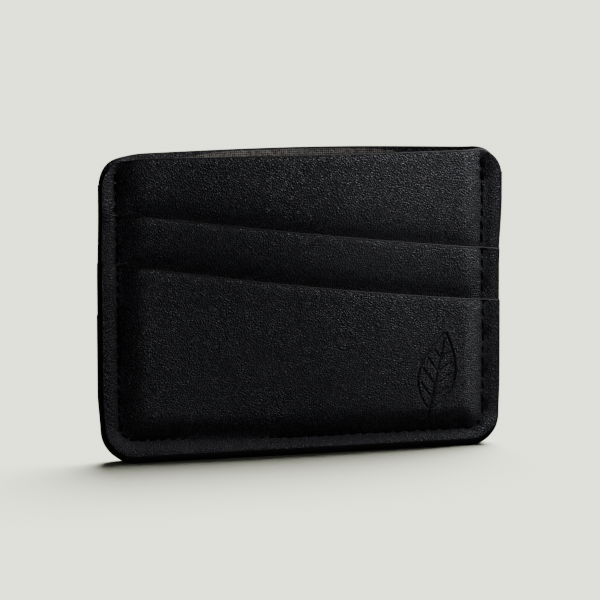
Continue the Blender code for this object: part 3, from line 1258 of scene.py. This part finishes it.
@dataclass
class Face:
    """One face of the holder: its lined panel and its two pockets, with their painted mouths.

    Attributes:
        side: Which face it is.
        form: The shape to follow.
        maker: Cuts and lays its sheets.
        finishes: The materials.
        bead: Radius of the paint bead on a mouth.
        bead_step: Spacing of points along it.
        turn_steps: Steps round a shoulder.
        lining_short: How much lower than its panel the lining is cut, at mid-width and at the shoulders.
    """

    side: Side
    form: Form
    maker: SheetMaker
    finishes: Finishes
    bead: float = 0.31
    bead_step: float = 0.9
    turn_steps: int = 14
    lining_short: tuple[float, float] = (0.25, 1.2)

    @property
    def prefix(self) -> str:
        """The name that this face's CAD nodes start with."""
        return self.side.name.lower()

    def build(self) -> None:
        """Make the sheets from the inside out, then paint their mouths."""
        self.build_lining()
        self.build_leather(Layer.PANEL, "panel")
        self.build_leather(Layer.MIDDLE, "middle_pocket")
        self.build_leather(Layer.LOWER, "lower_pocket")
        self.paint_rim()
        self.paint_mouth(Layer.MIDDLE, "middle")
        self.paint_mouth(Layer.LOWER, "lower")

    def build_leather(self, layer: Layer, noun: str) -> None:
        """Make one leather sheet, with its pressed seam, rounded edges and, in front, the leaf mark."""
        form = self.form
        marked = layer is Layer.LOWER and self.side is Side.FRONT

        def outer(x: float, z: float, edge: float) -> float:
            """The pressed and rounded outer face."""
            level = form.outer(layer, self.side, x, z) + self.maker.stitching.relief(x, z)
            if marked:
                level -= form.leaf.press(x, z)
            left = max(0.0, form.edge_round - edge)
            rounded = form.edge_round - math.sqrt(form.edge_round**2 - left**2)
            grounded = clamp(1.0 - z / form.bottom_radius)
            return level - max(rounded, form.bevelled(form.from_side(x, z), grounded))

        def inner(x: float, z: float, _: float) -> float:
            """The plain inner face."""
            return form.inner(layer, self.side, x, z)

        mesh = self.maker.closed_sheet(layer, self.side, outer, inner, leaf=marked)
        node = f"{self.prefix}_{noun}"
        place_mesh(f"{node}_leather", mesh, self.finishes.leather, [node])

    def build_lining(self) -> None:
        """Make the fabric lining, glued to the panel's inner face."""
        form = self.form

        def outer(x: float, z: float, _: float) -> float:
            """The face that is glued to the panel."""
            return form.inner(Layer.PANEL, self.side, x, z) - form.layer_gap

        def inner(x: float, z: float, _: float) -> float:
            """The face that cards slide on."""
            return outer(x, z, 0.0) - form.lining

        coarse = SheetMaker(form, self.maker.stitching, station=1.0, rings=(0.5, 1.5, 2.5, 3.0), cell=2.2)
        coarse.short, coarse.shoulder_short = self.lining_short
        mesh = coarse.closed_sheet(Layer.PANEL, self.side, outer, inner, pressed=False)
        node = f"{self.prefix}_panel_lining"
        piece = place_mesh(f"{node}_fabric", mesh, self.finishes.lining, [node])

    def bead_spot(self, layer: Layer, x: float, z: float) -> tuple[float, float, float]:
        """The centre of the paint bead at a point on a sheet's cut edge."""
        level = self.form.outer(layer, self.side, x, z) - self.form.leather / 2.0
        return x, self.side.value * level, z

    def paint_mouth(self, layer: Layer, noun: str) -> None:
        """Lay the paint bead along a slot's mouth."""
        form = self.form
        reach = form.width / 2.0 - form.edge_inset - 0.1
        count = round(2.0 * reach / self.bead_step)
        across = [-reach + 2.0 * reach * step / count for step in range(count + 1)]
        run = [self.bead_spot(layer, x, form.mouth(layer, self.side, x) - self.bead) for x in across]
        node = f"{self.prefix}_{noun}_edge_paint"
        mesh = tube_mesh(form, [run], self.bead, resolution=3)
        place_mesh(f"{node}_bead", mesh, self.finishes.paint, [node])

    def paint_rim(self) -> None:
        """Lay the paint bead over the panel's top edge, from shoulder to shoulder."""
        form = self.form
        radius = form.top_radius - self.bead
        right_end = form.mouth(Layer.PANEL, self.side, form.width / 2.0)
        shoulder = right_end - form.top_radius
        centre = form.width / 2.0 - form.top_radius
        turn = [math.pi / 2.0 * step / self.turn_steps for step in range(self.turn_steps + 1)]
        corner = [(centre + radius * math.cos(angle), radius * math.sin(angle)) for angle in turn]
        count = round(2.0 * centre / self.bead_step)
        top = [(-centre + 2.0 * centre * step / count, radius) for step in range(1, count)]
        path = [(-x, up) for x, up in corner] + top + corner[::-1]
        run = []
        for x, up in path:
            lift = form.mouth(Layer.PANEL, self.side, x) - right_end
            z = shoulder + up + lift * ease(up / radius)
            run.append(self.bead_spot(Layer.PANEL, x, z))
        node = f"{self.prefix}_panel_edge_paint"
        mesh = tube_mesh(form, [run], self.bead, resolution=3)
        place_mesh(f"{node}_bead", mesh, self.finishes.paint, [node])


@dataclass
class EdgeCoat:
    """The domed coat of paint over the stacked edges, lapping a little onto both faces.

    Attributes:
        form: The shape to follow.
        finishes: The materials.
        film: How far the coat stands above the bevel.
        bulge: How far it domes outwards.
        side_lap: How far it reaches round the bevel up the sides, as a share of it.
        bottom_lap: The same along the bottom.
        inner_inset: How far in from the outline its inner face lies.
        skin: How far its inner face stands clear of the leather.
        station: Spacing of points up the sides.
        turns: Steps round a bottom corner.
        flats: Steps along the bottom.
        across: Steps from one face to the other.
        flat_share: Share of those on the flat middle of the edge.
        past_shoulder: How far the coat runs up past the start of the top corner.
        step_place: How far above a slot's mouth the stack has stepped down.
        step_width: Height over which it does.
    """

    form: Form
    finishes: Finishes
    film: float = 0.06
    bulge: float = 0.25
    side_lap: float = 0.55
    bottom_lap: float = 1.0
    inner_inset: float = 0.27
    skin: float = 0.01
    station: float = 0.3
    turns: int = 28
    flats: int = 60
    across: int = 24
    flat_share: float = 0.3
    past_shoulder: float = 0.4
    step_place: float = 0.3
    step_width: float = 0.5

    def half_depth(self, x: float, z: float, side: Side) -> float:
        """Half the stack's thickness on one side, stepping down just above each slot's mouth."""
        form = self.form
        depth = form.margin_level(Layer.PANEL) + form.rolled(side, x, z, -form.margin_width)
        for layer in (Layer.MIDDLE, Layer.LOWER):
            above = z - form.mouth(layer, side, x) + self.step_place
            depth += (form.leather + form.layer_gap) * (1.0 - ease(above / self.step_width))
        return depth

    def path(self) -> list[tuple[float, float, float, float]]:
        """Points round the outline, each an (x, z) and its outward direction."""
        form = self.form
        top = form.front_height - form.top_radius + self.past_shoulder
        radius = form.bottom_radius
        reach = form.width / 2.0
        rises = round((top - radius) / self.station)
        right = [(reach, top + (radius - top) * step / rises, 1.0, 0.0) for step in range(rises)]
        for step in range(self.turns + 1):
            angle = math.pi / 2.0 * step / self.turns
            out_x, out_z = math.cos(angle), -math.sin(angle)
            right.append((reach - radius + radius * out_x, radius + radius * out_z, out_x, out_z))
        half = reach - radius
        bottom = [(half - 2.0 * half * step / self.flats, 0.0, 0.0, -1.0) for step in range(1, self.flats)]
        left = [(-x, z, -out_x, out_z) for x, z, out_x, out_z in reversed(right)]
        return right + bottom + left

    def section(self, share: float, depth: float, lap: float, grounded: float) -> tuple[float, float]:
        """The coat's outer profile on one half of the stack.

        Args:
            share: Place along the profile, 0 at the middle plane and 1 on the face.
            depth: Half the stack's thickness there.
            lap: How far the coat reaches round the bevel, as a share of it.
            grounded: 1 along the bottom and 0 up the sides.

        Returns:
            The distance in from the holder's outline and from the middle plane.
        """
        drop = min(self.form.drop_at(grounded), 0.9 * depth)
        if share < self.flat_share:
            return 0.0, share / self.flat_share * (depth - drop)
        angle = (share - self.flat_share) / (1.0 - self.flat_share) * math.acos(1.0 - lap)
        inset = self.form.bevel_at(grounded) * (1.0 - math.cos(angle))
        return inset, depth - drop + (drop + self.film) * math.sin(angle)

    def build(self) -> None:
        """Sweep the domed profile round the outline and close it against the leather."""
        form = self.form
        path = self.path()
        bm = bmesh.new()
        bmesh.ops.create_grid(bm, x_segments=len(path) - 1, y_segments=self.across, size=1.0)
        near = list(bm.verts)
        for verts, is_outer in ((near, True), (far_side(bm), False)):
            for vert in verts:
                x, z, out_x, out_z = path[round((vert.co.x + 1.0) / 2.0 * (len(path) - 1))]
                side = Side.FRONT if vert.co.y < 0.0 else Side.REAR
                depth = self.half_depth(x, z, side)
                grounded = -min(0.0, out_z)
                lap = self.side_lap + (self.bottom_lap - self.side_lap) * grounded
                inset, level = self.section(abs(vert.co.y), depth, lap, grounded)
                if is_outer:
                    inset -= self.bulge * (1.0 - grounded) * (1.0 - (level / depth) ** 2)
                else:
                    inset = max(inset, self.inner_inset)
                    level = min(level, depth + self.skin - form.bevelled(inset, grounded))
                vert.co = form.place(x - inset * out_x, side.value * level, z - inset * out_z)
        mesh = closed_mesh(bm, "edge_coat")
        node = "perimeter_edge_paint"
        place_mesh(f"{node}_coat", mesh, self.finishes.paint, [node])


@dataclass
class SeamThreads:
    """The stitches of the perimeter seam on both faces, and of the hidden seams under the pockets.

    Attributes:
        form: The shape to follow.
        stitching: The needle holes.
        finishes: The materials.
        radius: Radius of the thread.
        sunk: How deep a stitch lies under the leather's face.
        dive: How much deeper it goes into its holes.
        dive_power: How sharply it turns down into them.
        lean: How far a stitch leans across the seam to each side.
        hole_gap: Room that it leaves at each hole.
        shift: How far inwards of the seam it lies.
        doubled: How far the two threads of a back-tack lie to each side.
        bars: Heights above the middle slot's mouth of the bars that tie its corner down.
        bar_gap: How far short of the holder's edge they end.
        bar_proud: How far they stand above the leather.
        bar_power: How sharply their ends turn down.
        hidden_radius: Radius of the thread of the hidden seams.
        hidden_gap: Room between its stitches.
        hidden_steps: Steps along one of its stitches.
        needle_level: Where that seam's needle thread lies beside the middle pocket's outer face.
        bobbin_level: Where its bobbin thread lies beside the panel's outer face.
        steps: Steps along a stitch.
    """

    form: Form
    stitching: Stitching
    finishes: Finishes
    radius: float = 0.27
    sunk: float = 0.3
    dive: float = 0.5
    dive_power: int = 5
    lean: float = 0.12
    hole_gap: float = 0.24
    shift: float = 0.12
    doubled: tuple[float, float] = (-0.2, 0.22)
    bars: tuple[float, float] = (0.75, 1.15)
    bar_gap: float = 1.3
    bar_proud: float = 0.05
    bar_power: int = 6
    hidden_radius: float = 0.1
    hidden_gap: float = 0.1
    hidden_steps: int = 3
    needle_level: float = 0.17
    bobbin_level: float = -0.72
    steps: int = 6

    def surface(self, x: float, z: float, side: Side) -> float:
        """Distance from the middle plane to the outermost leather at a point of the seam."""
        for layer in (Layer.LOWER, Layer.MIDDLE):
            if z < self.form.mouth(layer, side, x):
                return self.form.margin_level(layer)
        return self.form.margin_level(Layer.PANEL)

    def stitch(self, start: float, end: float, side: Side, shift: float = 0.0) -> Run:
        """One stitch, rising from its first hole, lying along the groove and diving into the next.

        Args:
            start: Distance along the seam at which it starts.
            end: The same at which it ends.
            side: Which face it lies on.
            shift: How much further inwards it lies.

        Returns:
            Its points.
        """
        points = []
        for step in range(self.steps + 1):
            share = step / self.steps
            along = start + (end - start) * share
            inward = self.shift + shift + self.lean * (2.0 * share - 1.0)
            x, z = self.form.seam.point(along, inward)
            drop = self.sunk + self.dive * abs(2.0 * share - 1.0) ** self.dive_power
            points.append((x, side.value * (self.surface(x, z, side) - drop), z))
        return points

    def run(self, side: Side) -> list[Run]:
        """All stitches of the perimeter seam on one face, doubled where its ends are back-tacked."""
        holes = self.stitching.holes
        stitches = []
        for start, end in zip(holes, holes[1:]):
            double = self.stitching.tacked((start + end) / 2.0) > 0.5
            for shift in self.doubled if double else (0.0,):
                stitches.append(self.stitch(start + self.hole_gap, end - self.hole_gap, side, shift))
        return stitches

    def side_tack(self, side: Side) -> list[Run]:
        """The bars of thread that tie the middle slot's high corner down across the margin."""
        form = self.form
        out = -1.0 if side is Side.FRONT else 1.0
        inner_x = form.seam.reach
        outer_x = form.width / 2.0 - self.bar_gap
        bars = []
        for lift in self.bars:
            points = []
            for step in range(self.steps + 1):
                share = step / self.steps
                x = out * (inner_x + (outer_x - inner_x) * share)
                z = form.mouth(Layer.MIDDLE, side, x) + lift
                drop = self.dive * abs(2.0 * share - 1.0) ** self.bar_power - self.bar_proud
                points.append((x, side.value * (form.margin_level(Layer.PANEL) - drop), z))
            bars.append(points)
        return bars

    def base_run(self, side: Side, layer: Layer, offset: float) -> list[Run]:
        """The stitches of a hidden seam across the foot of a middle pocket.

        Args:
            side: Which face it is on.
            layer: The sheet that the thread lies beside.
            offset: How far outwards of that sheet's outer face it lies.

        Returns:
            The points of each stitch.
        """
        low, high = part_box(f"{side.name.lower()}_pocket_base_needle_thread")
        z = (low.z + high.z) / 2.0 / MM
        reach = high.x / MM
        pitch = self.form.seam.long_pitch
        length = pitch - 2.0 * self.hidden_gap
        runs = []
        for number in range(int(2.0 * reach / pitch)):
            start = -reach + number * pitch + self.hidden_gap
            xs = [start + length * step / self.hidden_steps for step in range(self.hidden_steps + 1)]
            levels = [self.form.outer(layer, side, x, low.z / MM) + offset for x in xs]
            runs.append([(x, side.value * level, z) for x, level in zip(xs, levels)])
        return runs

    def place_runs(self, node: str, runs: list[Run], radius: float) -> None:
        """Make one thread's stitches and put them in the scene."""
        mesh = tube_mesh(self.form, runs, radius, resolution=1)
        place_mesh(f"{node}_stitches", mesh, self.finishes.thread, [node])

    def build(self) -> None:
        """Make every thread."""
        for side, noun in ((Side.FRONT, "needle"), (Side.REAR, "bobbin")):
            self.place_runs(f"perimeter_{noun}_thread", self.run(side) + self.side_tack(side), self.radius)
        hidden = (("needle", Layer.MIDDLE, self.needle_level), ("bobbin", Layer.PANEL, self.bobbin_level))
        for side in Side:
            for noun, layer, offset in hidden:
                node = f"{side.name.lower()}_pocket_base_{noun}_thread"
                self.place_runs(node, self.base_run(side, layer, offset), self.hidden_radius)


@dataclass(frozen=True)
class Softbox:
    """One square softbox.

    Attributes:
        name: Its name.
        spot: Its place in metres.
        size: Length of its side in metres.
        power: Its power in watts.
    """

    name: str
    spot: tuple[float, float, float]
    size: float
    power: float


@dataclass
class Studio:
    """A pale paper sweep, soft lights and the camera.

    Attributes:
        floor_size: Length of the floor's side in metres.
        lens: Focal length of the camera.
        sensor: Width of its sensor.
        azimuth: The camera's direction round the holder from straight in front.
        distance: Its distance from the holder's middle, along the floor, in metres.
        height: Its height in metres.
        yaw: The way it looks, round the upright.
        pitch: The same, up or down.
        roll: The same, about its own line of sight.
        aim: The point in metres that the softboxes face.
        softboxes: The softboxes, which light only the holder.
        floor_towards: The direction to the floor's own light.
        floor_spread: How wide that light looks, in degrees.
        floor_strength: Its irradiance.
        room_light: Strength of the room's faint even light.
        floor: The floor.
    """

    floor_size: float = 6.0
    lens: float = 226.4
    sensor: float = 36.0
    azimuth: float = math.radians(-17.1)
    distance: float = 0.898
    height: float = 0.153
    yaw: float = math.radians(17.083)
    pitch: float = math.radians(-7.355)
    roll: float = math.radians(0.205)
    aim: tuple[float, float, float] = (0.0, 0.0, 0.036)
    softboxes: tuple[Softbox, ...] = (
        Softbox("key_softbox", (0.16, 0.0, 0.22), 0.12, 0.85),
        Softbox("side_softbox", (0.5, 0.1, 0.1), 0.3, 1.15),
        Softbox("front_fill", (0.5, -0.9, 0.18), 0.6, 1.85),
        Softbox("front_bank", (0.25, -0.5, 0.6), 0.2, 0.58),
        Softbox("rake_light", (0.45, -0.2, 0.2), 0.07, 0.35),
        Softbox("rear_fill", (0.3, 0.9, 0.3), 0.6, 2.4),
    )
    floor_towards: tuple[float, float, float] = (0.46, 0.43, 1.0)
    floor_spread: float = 46.0
    floor_strength: float = 12.6
    room_light: float = 0.032
    floor: bpy.types.Object = field(init=False)

    def build_floor(self) -> None:
        """Lay the floor that the holder stands on."""
        bm = bmesh.new()
        bmesh.ops.create_grid(bm, x_segments=1, y_segments=1, size=self.floor_size / 2.0)
        mesh = bpy.data.meshes.new("paper_floor")
        bm.to_mesh(mesh)
        bm.free()
        mesh.materials.append(FloorFinish().build())
        self.floor = bpy.data.objects.new("paper_floor", mesh)
        bpy.context.scene.collection.objects.link(self.floor)
        self.floor.visible_diffuse = False
        self.floor.visible_glossy = False

    def build_camera(self) -> None:
        """Place the camera to the left of the front and a little above."""
        data = bpy.data.cameras.new("studio_camera")
        data.lens = self.lens
        data.sensor_width = self.sensor
        camera = bpy.data.objects.new("studio_camera", data)
        spot = Vector(
            (self.distance * math.sin(self.azimuth), -self.distance * math.cos(self.azimuth), self.height)
        )
        turn = (
            Matrix.Rotation(-self.yaw, 4, "Z")
            @ Matrix.Rotation(math.pi / 2.0 + self.pitch, 4, "X")
            @ Matrix.Rotation(-self.roll, 4, "Z")
        )
        camera.matrix_world = Matrix.Translation(spot) @ turn
        bpy.context.scene.collection.objects.link(camera)
        bpy.context.scene.camera = camera

    def keep_off_floor(self, light: bpy.types.Object) -> None:
        """Let a light miss the floor, which has its own even light."""
        group = bpy.data.collections.new(f"{light.name}_misses")
        group.objects.link(self.floor)
        group.collection_objects[0].light_linking.link_state = "EXCLUDE"
        light.light_linking.receiver_collection = group

    def hang(self, softbox: Softbox) -> None:
        """Hang a softbox that faces the holder and misses the floor."""
        data = bpy.data.lights.new(softbox.name, "AREA")
        data.shape = "RECTANGLE"
        data.size = data.size_y = softbox.size
        data.energy = softbox.power
        light = bpy.data.objects.new(softbox.name, data)
        spot = Vector(softbox.spot)
        turn = (Vector(self.aim) - spot).to_track_quat("-Z", "Y").to_matrix().to_4x4()
        light.matrix_world = Matrix.Translation(spot) @ turn
        bpy.context.scene.collection.objects.link(light)
        self.keep_off_floor(light)

    def light_floor(self) -> None:
        """Light the floor evenly from far away, with the holder's soft shadow on it."""
        data = bpy.data.lights.new("floor_bank", "SUN")
        data.angle = math.radians(self.floor_spread)
        data.energy = self.floor_strength
        light = bpy.data.objects.new("floor_bank", data)
        light.matrix_world = Vector(self.floor_towards).to_track_quat("Z", "Y").to_matrix().to_4x4()
        bpy.context.scene.collection.objects.link(light)
        group = bpy.data.collections.new("floor_bank_lights")
        group.objects.link(self.floor)
        light.light_linking.receiver_collection = group

    def build_world(self) -> None:
        """Fill the room with a faint even light."""
        world = bpy.data.worlds.new("studio_room")
        world.use_nodes = True
        background = world.node_tree.nodes["Background"]
        background.inputs["Color"].default_value = (1.0, 1.0, 1.0, 1.0)
        background.inputs["Strength"].default_value = self.room_light
        bpy.context.scene.world = world

    def build(self) -> None:
        """Set up the whole studio."""
        self.build_world()
        self.build_floor()
        self.light_floor()
        for softbox in self.softboxes:
            self.hang(softbox)
        self.build_camera()


def main() -> None:
    """Build the holder from its linings outwards, then its studio."""
    logging.basicConfig(level=logging.INFO, format="%(name)s %(message)s")
    form = Form.from_frame()
    stitching = Stitching(form)
    finishes = Finishes()
    maker = SheetMaker(form, stitching)
    for side in Side:
        Face(side, form, maker, finishes).build()
    EdgeCoat(form, finishes).build()
    SeamThreads(form, stitching, finishes).build()
    Studio().build()


if __name__ == "__main__":
    main()
